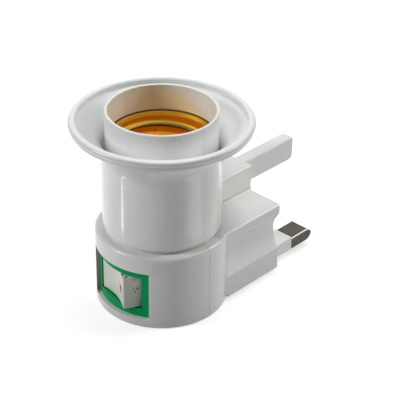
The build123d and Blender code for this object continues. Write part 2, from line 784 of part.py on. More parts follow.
parts = {
    "front_shell": front_half(turned_body),
    "rear_shell": rear_half(turned_body),
    "flange_sleeve": flange_sleeve(),
    "screw_shell": screw_shell(),
    "socket_insulator": socket_insulator(),
    "centre_contact": centre_contact(),
    "neutral_strap": neutral_strap(),
    "contact_rivets": Compound(children=[contact_rivet(x) for x in (-rivet_spread, 0, rivet_spread)]),
    "case_screws": Compound(children=mirrored_pair(case_screw)),
    "live_pin": flat_pin(pin_spread),
    "neutral_pin": flat_pin(-pin_spread),
    "live_pin_sleeve": flat_pin_sleeve(pin_spread),
    "neutral_pin_sleeve": flat_pin_sleeve(-pin_spread),
    "switch_bezel": switch_bezel(),
    "switch_body": switch_body(),
    "common_terminal": common_terminal(),
    "switched_terminal": switched_terminal(),
    "fixed_contact": fixed_contact(),
    "seesaw_contact": seesaw_contact(),
    "moving_contact": moving_contact(),
    "rocker": rocker(),
    "plunger": plunger(),
    "rocker_spring": rocker_spring(),
    "live_lead": lead(
        "live_lead", (pin_spread, tail_end, lead_start), *live_bends, (0, blade_end, switch_height)),
    "switched_lead": lead(
        "switched_lead", (-contact_place, blade_end, switch_height), *switched_bends, (0, 0, rivet_foot)),
    "neutral_lead": lead(
        "neutral_lead", (-pin_spread, tail_end, lead_start), *neutral_bends, (lug, 0, strap_lug_bottom)),
}

os.makedirs("parts", exist_ok=True)
for name, shape in parts.items():
    export_step(shape, f"parts/{name}.step")
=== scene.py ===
"""Plug in lamp holder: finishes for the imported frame, a rolled lamp thread, and a studio stage."""

from math import cos, radians, sin, sqrt, tau

import bpy
from mathutils import Matrix, Vector


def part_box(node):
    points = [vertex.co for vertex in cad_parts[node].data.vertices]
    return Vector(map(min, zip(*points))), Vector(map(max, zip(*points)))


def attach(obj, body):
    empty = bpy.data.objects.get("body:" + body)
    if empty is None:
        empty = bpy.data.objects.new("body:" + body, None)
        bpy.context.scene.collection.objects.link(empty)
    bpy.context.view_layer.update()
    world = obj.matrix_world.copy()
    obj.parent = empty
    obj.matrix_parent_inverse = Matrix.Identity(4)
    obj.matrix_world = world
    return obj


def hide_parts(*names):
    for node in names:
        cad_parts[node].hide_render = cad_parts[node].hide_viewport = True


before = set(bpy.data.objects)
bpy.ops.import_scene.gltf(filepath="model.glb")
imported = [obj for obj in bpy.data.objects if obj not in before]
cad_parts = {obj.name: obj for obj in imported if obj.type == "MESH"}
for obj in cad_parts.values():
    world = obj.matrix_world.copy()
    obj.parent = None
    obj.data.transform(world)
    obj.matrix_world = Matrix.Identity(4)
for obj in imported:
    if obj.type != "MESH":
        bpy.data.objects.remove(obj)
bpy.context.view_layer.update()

bl_info = {
    "name": "Plug in lamp holder",
    "version": (1, 0, 0),
    "blender": (4, 5, 0),
    "location": "3D View > Sidebar > Lamp holder",
    "description": "Dresses the lamp holder's frame and sets up its studio",
    "category": "Object",
}

MM = 0.001
HOLDER = "holder"
SHELL_LOW, SHELL_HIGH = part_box("screw_shell")
COLLAR_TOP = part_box("front_shell")[1].z
FLANGE_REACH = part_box("flange_sleeve")[1]

LINING_RADIUS = 14.55 * MM
FLANGE_TOP = FLANGE_REACH.z
FLARE_START = FLANGE_TOP - 11.3 * MM
BEAD_CORNER = FLANGE_TOP - 1 * MM
BEAD_INSIDE = FLANGE_REACH.x - 0.85 * MM
PLUG_FACE = 30.7 * MM
WINDOW_SIDE = radians(-124.4)
ROCKER_PIVOT_Y = -11.28 * MM
ROCKER_HALF = 6.13 * MM
ROCKER_REST = radians(16.5)


def colour_property(name, description, value):
    """A colour that a user can change."""
    return bpy.props.FloatVectorProperty(
        name=name, description=description, default=value, subtype="COLOR", size=3, min=0, max=1)


def length_property(name, description, value):
    """A length in metres that a user can change."""
    return bpy.props.FloatProperty(
        name=name, description=description, default=value, subtype="DISTANCE", unit="LENGTH", min=0,
        precision=5)


def power_property(name, description, value):
    """A lamp's power in watts that a user can change."""
    return bpy.props.FloatProperty(
        name=name, description=description, default=value, subtype="POWER", unit="POWER")


def angle_property(name, description, degrees):
    """An angle that a user can change."""
    return bpy.props.FloatProperty(
        name=name, description=description, default=radians(degrees), subtype="ANGLE")


class HolderColours(bpy.types.PropertyGroup):
    """Colours of the holder's finishes."""

    plastic: colour_property("Shells", "Moulded shells, sleeve and pin sleeves", (0.80, 0.805, 0.79))
    # Painted shade and reflected light: the lining colour stands for the shade and the screw shell's warm
    # bounce deep in the collar.
    lining: colour_property("Collar lining", "Inside of the collar, yellowed by the lamp", (1.0, 0.91, 0.55))
    bezel: colour_property("Bezel", "Frame round the rocker", (0.001, 0.385, 0.125))
    rocker: colour_property("Rocker", "Switch rocker", (0.83, 0.83, 0.77))
    gold: colour_property("Screw shell", "Rolled lamp thread", (0.70, 0.30, 0.010))
    brass: colour_property("Contacts", "Springs, straps and rivets", (0.70, 0.48, 0.20))
    silver: colour_property("Contact faces", "Silver faced buttons", (0.66, 0.66, 0.64))
    pin: colour_property("Pins", "Dull plated pins", (0.085, 0.085, 0.078))
    steel: colour_property("Screws", "Zinc plated screws and spring", (0.52, 0.53, 0.54))
    board: colour_property("Insulator", "Pressed insulating disc", (0.50, 0.43, 0.33))
    switch: colour_property("Switch body", "Box behind the bezel", (0.02, 0.02, 0.02))
    live: colour_property("Live leads", "Insulation of the live leads", (0.16, 0.05, 0.02))
    neutral: colour_property("Neutral lead", "Insulation of the neutral lead", (0.02, 0.08, 0.35))


class ScrewShellSizes(bpy.types.PropertyGroup):
    """Sizes of the rolled screw shell."""

    pitch: length_property("Pitch", "Rise of the thread in one turn", 3.62 * MM)
    crest: length_property("Crest radius", "Smallest inner radius of the thread", 12.25 * MM)
    groove: length_property("Groove radius", "Largest inner radius of the thread", 13.3 * MM)
    sheet: length_property("Sheet", "Thickness of the metal", 0.45 * MM)
    top_crest: length_property("Top crest", "Height of the first crest at the back of the collar", 46.65 * MM)
    neck: length_property("Neck radius", "Inner radius of the plain band above the thread", 13.35 * MM)
    mouth: length_property("Mouth radius", "Inner radius at the flared mouth", 13.75 * MM)
    foot: length_property("Foot radius", "Inner radius of the foot", 12.9 * MM)
    floor_hole: length_property("Floor hole", "Radius of the hole in the shell's floor", 7.4 * MM)


class StageSettings(bpy.types.PropertyGroup):
    """Camera and lamps."""

    azimuth: angle_property("Azimuth", "Camera's turn about the holder", 43.34)
    elevation: angle_property("Elevation", "Camera's height angle", 31.41)
    roll: angle_property("Roll", "Camera's turn about its own axis", 1.045)
    distance: length_property("Distance", "From the camera to the origin, along the view", 362.07 * MM)
    across: length_property("Across", "How far the origin stands left of the picture's middle", 10.867 * MM)
    down: length_property("Down", "How far the origin stands below the picture's middle", 25.558 * MM)
    lens: bpy.props.FloatProperty(
        name="Lens", description="Focal length on a 36 mm sensor", default=114.11, subtype="DISTANCE_CAMERA")
    top_power: power_property("Top lamp", "Power of the overhead lamp", 2.42)
    left_power: power_property("Left lamp", "Power of the lamp at the left", 1.62)
    right_power: power_property("Right lamp", "Power of the lamp at the right", 1.12)
    ambient: bpy.props.FloatProperty(
        name="Ambient", description="World light on the holder", default=0.024, min=0, max=1)


class Wire:
    """A shader socket that takes part in Python arithmetic."""

    def __init__(self, finish, socket):
        self.finish = finish
        self.socket = socket

    def _maths(self, operation, *values):
        return self.finish.node("ShaderNodeMath", {"operation": operation}, *values)["Value"]

    def __add__(self, other):
        return self._maths("ADD", self, other)

    __radd__ = __add__

    def __sub__(self, other):
        return self._maths("SUBTRACT", self, other)

    def __rsub__(self, other):
        return self._maths("SUBTRACT", other, self)

    def __mul__(self, other):
        return self._maths("MULTIPLY", self, other)

    __rmul__ = __mul__

    def __truediv__(self, other):
        return self._maths("DIVIDE", self, other)

    def __rtruediv__(self, other):
        return self._maths("DIVIDE", other, self)

    def __gt__(self, other):
        return self._maths("GREATER_THAN", self, other)

    def __lt__(self, other):
        return self._maths("LESS_THAN", self, other)

    def clipped(self):
        """The value held between 0 and 1."""
        return self.finish.node("ShaderNodeClamp", {}, Value=self)["Result"]


class Placed:
    """A node just made, whose outputs are read by name or by place."""

    def __init__(self, finish, made):
        self.finish = finish
        self.made = made

    def __getitem__(self, name):
        return Wire(self.finish, self.made.outputs[name])


class Finish:
    """Nodes of a material, or of the world, under construction."""

    def __init__(self, name, world=False):
        self.data = (bpy.data.worlds if world else bpy.data.materials).new(name)
        self.data.use_nodes = True
        self.tree = self.data.node_tree
        self.tree.nodes.clear()
        self.output = self.tree.nodes.new("ShaderNodeOutputWorld" if world else "ShaderNodeOutputMaterial")

    def plug(self, socket, value):
        """Link a wire to a socket, or set the socket's own value."""
        if isinstance(value, Wire):
            self.tree.links.new(value.socket, socket)
        elif socket.type == "RGBA":
            socket.default_value = (*value, 1.0)
        else:
            socket.default_value = value

    def node(self, kind, settings, *values, **sockets):
        """Make a node of a type, with its settings, then its sockets by order or by name."""
        made = self.tree.nodes.new(kind)
        for key, value in settings.items():
            setattr(made, key, value)
        for place, value in enumerate(values):
            self.plug(made.inputs[place], value)
        for name, value in sockets.items():
            self.plug(made.inputs[name.replace("_", " ")], value)
        return Placed(self, made)

    def mix(self, mask, first, second):
        """Colour that goes from the first to the second as the mask rises."""
        placed = self.node("ShaderNodeMix", {"data_type": "RGBA"}, mask)
        first_colour, second_colour, mixed_colour = 6, 7, 2
        self.plug(placed.made.inputs[first_colour], first)
        self.plug(placed.made.inputs[second_colour], second)
        return placed[mixed_colour]

    def layers(self, tint, *coats):
        """Lay colours over a tint in turn, each through its mask."""
        for mask, colour in coats:
            tint = self.mix(mask, tint, colour)
        return tint

    def place(self):
        """Object coordinates, which stay with the piece when it moves."""
        return self.node("ShaderNodeTexCoord", {})["Object"]

    def axes(self):
        """Object coordinates as three values, in metres."""
        parts = self.node("ShaderNodeSeparateXYZ", {}, self.place())
        return parts["X"], parts["Y"], parts["Z"]

    def radius(self):
        """Distance from the holder's upright axis."""
        x, y, _ = self.axes()
        return self.node("ShaderNodeMath", {"operation": "SQRT"}, x * x + y * y)["Value"]

    def across(self, radius):
        """From -1 at the left of a round piece of this radius to 1 at its right, as the photo shows it."""
        x, y, _ = self.axes()
        return (x + y) / (radius * sqrt(2))

    def facing(self):
        """The surface's direction as three values."""
        normal = self.node("ShaderNodeNewGeometry", {})["Normal"]
        parts = self.node("ShaderNodeSeparateXYZ", {}, normal)
        return parts["X"], parts["Y"], parts["Z"]

    def noise(self, scale, detail=2.0, roughness=0.5, stretch=(1, 1, 1)):
        """Noise value over the piece; scale is in grains per metre."""
        placed = self.node("ShaderNodeMapping", {}, Vector=self.place(), Scale=stretch)["Vector"]
        return self.node(
            "ShaderNodeTexNoise", {}, Vector=placed, Scale=scale, Detail=detail, Roughness=roughness)["Fac"]

    def spot(self, centre, radius, softness=0.35, upright=1):
        """1 inside a ball, falling to 0 at its rim, sizes in mm; an upright of 0 makes it a tall column."""
        spread = (1, 1, upright)
        placed = self.node("ShaderNodeVectorMath", {"operation": "MULTIPLY"}, self.place(), spread)["Vector"]
        middle = [part * scale * MM for part, scale in zip(centre, spread)]
        gap = self.node("ShaderNodeVectorMath", {"operation": "DISTANCE"}, placed, middle)["Value"]
        return ((1 - gap / (radius * MM)) / softness).clipped()

    def bump(self, height, depth):
        """Normal from a height value; depth is in metres."""
        return self.node("ShaderNodeBump", {}, Height=height, Distance=depth, Strength=1.0)["Normal"]

    def close(self, shader):
        """Send a shader to the output and hand over the finished data."""
        self.plug(self.output.inputs["Surface"], shader)
        return self.data

    def surface(self, colour, roughness, normal, metallic=0.0, coat=0.0, shine=0.5):
        """Finish the material with one principled surface."""
        return self.close(self.node(
            "ShaderNodeBsdfPrincipled", {}, Base_Color=colour, Roughness=roughness, Normal=normal,
            Metallic=metallic, Specular_IOR_Level=shine, Coat_Weight=coat, Coat_Roughness=0.03)["BSDF"])


def rise(value, start, run):
    """0 up to the start, 1 once the value has gone the run beyond it."""
    return ((value - start) / run).clipped()


def fall(value, end, run):
    """1 until the value is a run short of the end, 0 from the end on."""
    return ((end - value) / run).clipped()


def band(value, low, high, softness):
    """1 where a value lies between two limits, with soft ends."""
    return rise(value, low, softness) * fall(value, high, softness)


def shaded(colour, factor):
    """A colour made lighter or darker."""
    return tuple(min(1.0, part * factor) for part in colour)


def dress(material, *nodes):
    """Give CAD nodes one material."""
    for name in nodes:
        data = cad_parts[name].data
        data.materials.clear()
        data.materials.append(material)


def moulded_plastic(name, colour):
    """Glossy moulding with faint flow marks and a little orange peel."""
    finish = Finish(name)
    cloud = finish.noise(90.0, 3.0, 0.6)
    tint = finish.mix(cloud, shaded(colour, 0.975), shaded(colour, 1.015))
    peel = finish.noise(500.0, 1.0)
    roughness = 0.26 + 0.1 * finish.noise(260.0, 2.0)
    return finish, tint, roughness, finish.bump(peel, 0.004 * MM)


def specked(finish, tint, specks, amount=0.85, upright=1):
    """Small ragged specks of dirt, each with its centre and radius in millimetres."""
    dirt = (0.045, 0.038, 0.03)
    ragged = 0.55 + 0.9 * finish.noise(1700.0, 2.0)
    for *centre, radius in specks:
        patch = finish.spot(centre, radius, 0.5, upright)
        tint = finish.mix((patch * ragged).clipped() * amount, tint, dirt)
    return tint


class SHELLS_OT_finish(bpy.types.Operator):
    """Finish the moulded shells, the flange sleeve and the pin sleeves"""

    bl_idname = "lamp_holder.finish_shells"
    bl_label = "Finish the shells"

    # Near-white laid over shaded corners as painted light.
    painted_light_white = (0.97, 0.97, 0.96)

    def execute(self, context):
        colours = context.scene.holder_colours
        dress(self.shell_plastic(colours), "front_shell", "rear_shell")
        dress(self.sleeve_plastic(colours.plastic), "flange_sleeve")
        dress(self.pin_sleeve_plastic(colours.plastic), "live_pin_sleeve", "neutral_pin_sleeve")
        return {"FINISHED"}

    def shell_plastic(self, colours):
        """White moulding of both shells: painted light and shade in the collar's lining, on its outside, on
        the window's side wall, on the plug block and on the earth pin's sides, with specks, a stain and a
        duller earth pin.
        """
        finish, tint, roughness, normal = moulded_plastic("shell_plastic", colours.plastic)
        tint = self.collar_lining(finish, tint, colours.lining)
        tint = self.collar_outside(finish, tint)
        tint = self.window_marks(finish, tint)
        tint = self.plug_block(finish, tint, colours.plastic)
        _, y, z = finish.axes()
        earth_pin = (y > PLUG_FACE + 0.1 * MM) * (z > 22 * MM)
        # Painted light: the earth pin's sides, every face but its top, are laid lighter than the plastic.
        upright = 1 - (finish.facing()[2] > 0.5)
        tint = finish.layers(
            tint, (earth_pin, colours.plastic), (earth_pin * upright, shaded(colours.plastic, 1.16)))
        return finish.surface(tint, roughness + 0.25 * earth_pin, normal, coat=0.3 - 0.3 * earth_pin)

    def collar_lining(self, finish, tint, lining):
        """Inside of the collar: a cool white at the mouth that offsets the gold's warm bounce, the lining
        colour further down as painted shade and bounce, and a painted shadow where the metal starts.
        """
        z = finish.axes()[2]
        across = finish.across(14.35 * MM)
        inside = fall(finish.radius(), LINING_RADIUS, 0.1 * MM) * rise(z, SHELL_LOW.z + 0.6 * MM, 1 * MM)
        depth = fall(z, COLLAR_TOP - 0.18 * MM, 7.5 * MM)
        shadow_edge = COLLAR_TOP + 1.42 * MM - 7.8 * MM * across
        leftwards = (0.35 - 0.9 * across).clipped()
        warm_shade = fall(z, shadow_edge, 3 * MM) * (0.6 + 0.4 * depth) * (1 - 0.6 * leftwards)
        gap_shadow = inside * fall(z, SHELL_HIGH.z + 0.45 * MM, 0.15 * MM)
        # Painted light and shade: the cool white cancels the gold's bounce, the lining colour ends at a
        # slanted painted shadow edge and grows stronger deeper down, and a near-black band is painted shadow
        # in the gap at the shell's top.
        return finish.layers(
            tint,
            (inside * (1 - warm_shade), (0.97, 1.0, 0.97)),
            (inside * warm_shade, lining),
            (gap_shadow * 0.9, (0.06, 0.05, 0.035)),
        )

    def collar_outside(self, finish, tint):
        """Outside of the collar: painted light, laid near-white, on its left side under the flange, with a
        few faint specks.
        """
        z = finish.axes()[2]
        # Painted light: the collar's left side under the flange is laid near-white.
        painted_light_band = band(z, FLARE_START - 1.3 * MM, FLANGE_TOP - 1.1 * MM, 2 * MM)
        leftwards = (-0.2 - finish.across(14.35 * MM)).clipped()
        outside = finish.radius() > LINING_RADIUS
        tint = finish.mix(painted_light_band * outside * leftwards, tint, self.painted_light_white)
        specks = (
            (11.0, -10.5, 56.4, 0.3), (11.8, -9.5, 54.0, 0.3), (11.5, -9.9, 55.2, 0.25),
            (9.4, -11.9, 55.0, 0.25), (10.1, -11.4, 54.5, 0.2), (12.6, -8.5, 54.6, 0.2),
        )
        return specked(finish, tint, specks, 0.16)

    def window_marks(self, finish, tint):
        """Painted shade on the switch window's left side wall, and a yellow stain right of the window."""
        x, y, z = finish.axes()
        off_side = x * sin(WINDOW_SIDE) - y * cos(WINDOW_SIDE)
        # Painted shade: a dark brown band on the window's left side wall.
        jamb_shade = (off_side < 0.05 * MM) * (x < -9 * MM) * (y < -13 * MM)
        jamb_shade = jamb_shade * band(z, 2.5 * MM, 17.7 * MM, 0.1 * MM)
        stain = finish.spot((12.04, -14.11, 19.82), 2.6, 0.9) * finish.noise(500.0, 2.0)
        return finish.layers(tint, (jamb_shade * 0.85, (0.24, 0.17, 0.10)), (stain * 0.5, (0.66, 0.55, 0.36)))

    def plug_block(self, finish, tint, plastic):
        """Plug block: painted shade on its top behind the sleeve, painted light on its scooped and upper
        sides.
        """
        x, y, z = finish.axes()
        radius = finish.radius()
        shade_behind_sleeve = (y > 5 * MM) * band(z, 22.3 * MM, 24.6 * MM, 0.3 * MM) * fall(radius, 24 * MM, 6 * MM)
        scoop = rise(z, 7.7 * MM, 0.2 * MM) * fall(z, 17.5 * MM, 8 * MM)
        scoop = scoop * (x > 8 * MM) * (radius > 18.7 * MM) * (y > 6 * MM)
        upper = band(z, 23.8 * MM, 30.4 * MM, 0.4 * MM) * band(x, 5.2 * MM, 6 * MM, 0.1 * MM)
        lit_sides = (scoop + upper * (y > 17 * MM)).clipped()
        return finish.layers(tint, (shade_behind_sleeve * 0.8, shaded(plastic, 0.68)), (lit_sides, shaded(plastic, 1.18)))

    def sleeve_plastic(self, plastic):
        """Glossy moulding of the flange sleeve, with a painted highlight line along the corner of its bead,
        painted shade above and below it, painted light in the hollow by the collar and painted shade in the
        left of the bowl.
        """
        finish, tint, roughness, normal = moulded_plastic("sleeve_plastic", plastic)
        specks = ((-10.7, -19.1, 0, 0.4), (-12.6, -16.8, 0, 0.35), (1.5, -24.8, 0, 0.4))
        tint = specked(finish, tint, specks, 0.45, upright=0)
        x, y, z = finish.axes()
        radius, upwards = finish.radius(), finish.facing()[2]
        bead = radius > BEAD_INSIDE
        near_collar = fall(radius, 20.5 * MM, 2 * MM)
        hollow = (upwards > 0.02) * near_collar * rise(z, FLARE_START - 2.3 * MM, 2 * MM)
        left_bowl_shade = (upwards > 0.3) * fall(x + y, -12 * MM, 12 * MM) * (z < FLANGE_TOP - 0.2 * MM)
        # Painted light and shade: darker rings below and above the bead's corner are painted shade, the white
        # ring on the corner is a painted highlight, the near-white in the hollow by the collar is painted
        # light, and the darker left of the bowl is painted shade.
        tint = finish.layers(
            tint,
            (self.bead_ring(z, -1.4, -0.2, 0.1) * bead, shaded(plastic, 0.93)),
            (self.bead_ring(z, -0.04, 0.85, 0.15) * bead, shaded(plastic, 0.80)),
            (self.bead_ring(z, -0.3, 0.08, 0.05) * bead, (1.0, 1.0, 1.0)),
            (hollow, self.painted_light_white),
            (left_bowl_shade, shaded(plastic, 0.82)),
        )
        left_flare = rise(z, FLARE_START + 0.3 * MM, 0.6 * MM) * fall(x + y, -5 * MM, 1 * MM)
        dull_flare = left_flare * (1 - bead)
        return finish.surface(tint, roughness, normal, coat=0.75 - 0.65 * bead - 0.65 * dull_flare)

    def bead_ring(self, z, low, high, softness):
        """Mask of a ring round the flange's bead, in millimetres above its corner."""
        return band(z, BEAD_CORNER + low * MM, BEAD_CORNER + high * MM, softness * MM)

    def pin_sleeve_plastic(self, plastic):
        """White insulation of the pins, with painted light on the side that faces +X."""
        finish, tint, roughness, normal = moulded_plastic("pin_sleeve_plastic", shaded(plastic, 1.02))
        tint = finish.mix(finish.facing()[0] > 0.7, tint, shaded(plastic, 1.15))
        return finish.surface(tint, roughness, normal)


class SWITCH_OT_finish(bpy.types.Operator):
    """Finish the bezel, the rocker and the switch behind them"""

    bl_idname = "lamp_holder.finish_switch"
    bl_label = "Finish the switch"

    def execute(self, context):
        colours = context.scene.holder_colours
        finish, tint, roughness, normal = moulded_plastic("bezel_plastic", colours.bezel)
        tint = finish.mix(self.gap_shade(finish), tint, (0.0, 0.012, 0.006))
        dress(finish.surface(tint, roughness, normal, shine=0.06), "switch_bezel")
        dress(self.rocker_plastic(colours.rocker), "rocker")
        finish, tint, roughness, normal = moulded_plastic("switch_body_plastic", colours.switch)
        dress(finish.surface(tint, roughness + 0.3, normal), "switch_body")
        return {"FINISHED"}

    def gap_shade(self, finish):
        """Mask of painted shadow: 1 on the bezel's lower wall where the rocker at rest stands close to it."""
        x, y, z = finish.axes()
        y = y - ROCKER_PIVOT_Y
        across = cos(ROCKER_REST) * x - sin(ROCKER_REST) * y
        depth = sin(ROCKER_REST) * x + cos(ROCKER_REST) * y
        hollow = ((across / ROCKER_HALF) * (across / ROCKER_HALF)).clipped()
        past_ridge = across > ROCKER_HALF
        face, dip, end_slope, end_step = -5.04 * MM, 1.05 * MM, 3.4, 0.6 * MM
        edge = face - dip * hollow + end_slope * past_ridge * (across - ROCKER_HALF)
        near = rise(depth - edge + end_step * past_ridge, -0.35 * MM, 0.25 * MM)
        wall = band(z, 4.96 * MM, 5.2 * MM, 0.03 * MM) * band(x, -7.95 * MM, 7.95 * MM, 0.05 * MM)
        return near * wall

    def rocker_plastic(self, colour):
        """White rocker with a red mark by its ridge, a rust spot, dirt specks on the raised end, and painted
        shade darkening the end towards +X.
        """
        finish, tint, roughness, normal = moulded_plastic("rocker_plastic", colour)
        x, y, z = finish.axes()
        stroke = band(z, 8.7 * MM, 11.1 * MM, 0.2 * MM) * band(x + 0.19 * z, 2.75 * MM, 4.05 * MM, 0.04 * MM)
        rust = finish.spot((5.95, -16.1, 14.7), 1.2, 0.9) * finish.noise(900.0, 2.0)
        # Painted shade: the end beyond the ridge is laid darker towards +X and lower down.
        end_shade = rise(x, 4.3 * MM, 2.6 * MM) * fall(z, 13.5 * MM, 8 * MM)
        tint = finish.layers(
            tint,
            (stroke * (y < -15.5 * MM), (0.44, 0.0, 0.02)),
            (rust, (0.30, 0.12, 0.05)),
            (end_shade * 0.75, (0.38, 0.39, 0.35)),
        )
        on_end = ((6.31, -15.55, 11.34, 0.42), (5.73, -16.43, 11.18, 0.28), (5.97, -16.07, 10.28, 0.33))
        on_top = (
            (2.36, -17.39, 14.97, 0.42), (2.76, -16.56, 14.97, 0.42), (3.91, -17.28, 14.97, 0.4),
            (4.23, -17.88, 14.97, 0.32), (2.82, -17.63, 14.97, 0.3),
        )
        tint = specked(finish, tint, on_end + on_top, 0.97)
        return finish.surface(tint, roughness + 0.1, normal, shine=0.4)


def sheet_metal(name, colour, roughness, streaks, grain):
    """Drawn metal with fine streaks along one axis and faint tarnish."""
    finish = Finish(name)
    tarnish = finish.noise(160.0, 3.0, 0.6)
    line = finish.noise(900.0, 2.0, 0.6, stretch=streaks)
    tint = finish.mix(tarnish, shaded(colour, 0.8), shaded(colour, 1.12))
    tint = finish.mix(line * 0.35, tint, shaded(colour, 0.55))
    rough = (roughness + grain * (line - 0.5) + 0.1 * tarnish).clipped()
    return finish.surface(tint, rough, finish.bump(line, 0.004 * MM), metallic=1.0)


class METAL_OT_finish(bpy.types.Operator):
    """Finish the pins, contacts, rivets, screws and springs"""

    bl_idname = "lamp_holder.finish_metal"
    bl_label = "Finish the metal"

    def execute(self, context):
        colours = context.scene.holder_colours
        along_strip, even = (0.08, 1.0, 1.0), (1, 1, 1)
        dress(self.pin_plating(colours.pin), "live_pin", "neutral_pin")
        dress(sheet_metal("contact_brass", colours.brass, 0.3, along_strip, 0.15),
              "centre_contact", "neutral_strap", "contact_rivets", "common_terminal",
              "switched_terminal", "seesaw_contact", "plunger")
        dress(sheet_metal("contact_silver", colours.silver, 0.28, even, 0.1),
              "fixed_contact", "moving_contact")
        dress(sheet_metal("screw_zinc", colours.steel, 0.35, even, 0.15),
              "case_screws", "rocker_spring")
        return {"FINISHED"}

    def pin_plating(self, colour):
        """Dull, speckled plating, with a painted highlight along the chamfered edges."""
        finish = Finish("pin_plating")
        speckle = finish.noise(2200.0, 2.0, 0.7)
        cloud = finish.noise(350.0, 3.0, 0.6)
        sideways, _, upwards = finish.facing()
        chamfer_highlight = (sideways * sideways > 0.08) * (upwards > 0.3)
        tint = finish.mix(rise(speckle, 0.3, 0.4), shaded(colour, 0.45), shaded(colour, 1.5))
        tint = finish.layers(tint, (cloud * 0.35, (0.13, 0.10, 0.07)), (chamfer_highlight * 0.8, (0.50, 0.45, 0.38)))
        pitted = finish.bump(speckle, 0.012 * MM)
        return finish.surface(tint, 0.42 + 0.25 * speckle, pitted, metallic=1.0)


class INSULATION_OT_finish(bpy.types.Operator):
    """Finish the insulating disc and the leads"""

    bl_idname = "lamp_holder.finish_insulation"
    bl_label = "Finish the insulation"

    def execute(self, context):
        colours = context.scene.holder_colours
        finish = Finish("insulator_board")
        fibre = finish.noise(600.0, 4.0, 0.7)
        tint = finish.mix(fibre, shaded(colours.board, 0.7), shaded(colours.board, 1.15))
        dress(finish.surface(tint, 0.55 + 0.2 * fibre, finish.bump(fibre, 0.02 * MM)), "socket_insulator")
        for name, colour, nodes in (
            ("live_insulation", colours.live, ("live_lead", "switched_lead")),
            ("neutral_insulation", colours.neutral, ("neutral_lead",)),
        ):
            finish, tint, roughness, normal = moulded_plastic(name, colour)
            dress(finish.surface(tint, roughness + 0.15, normal), *nodes)
        return {"FINISHED"}


def smoothstep(value, low, high):
    """0 below the low limit, 1 above the high one, and a smooth rise between."""
    share = min(1.0, max(0.0, (value - low) / (high - low)))
    return share * share * (3 - 2 * share)


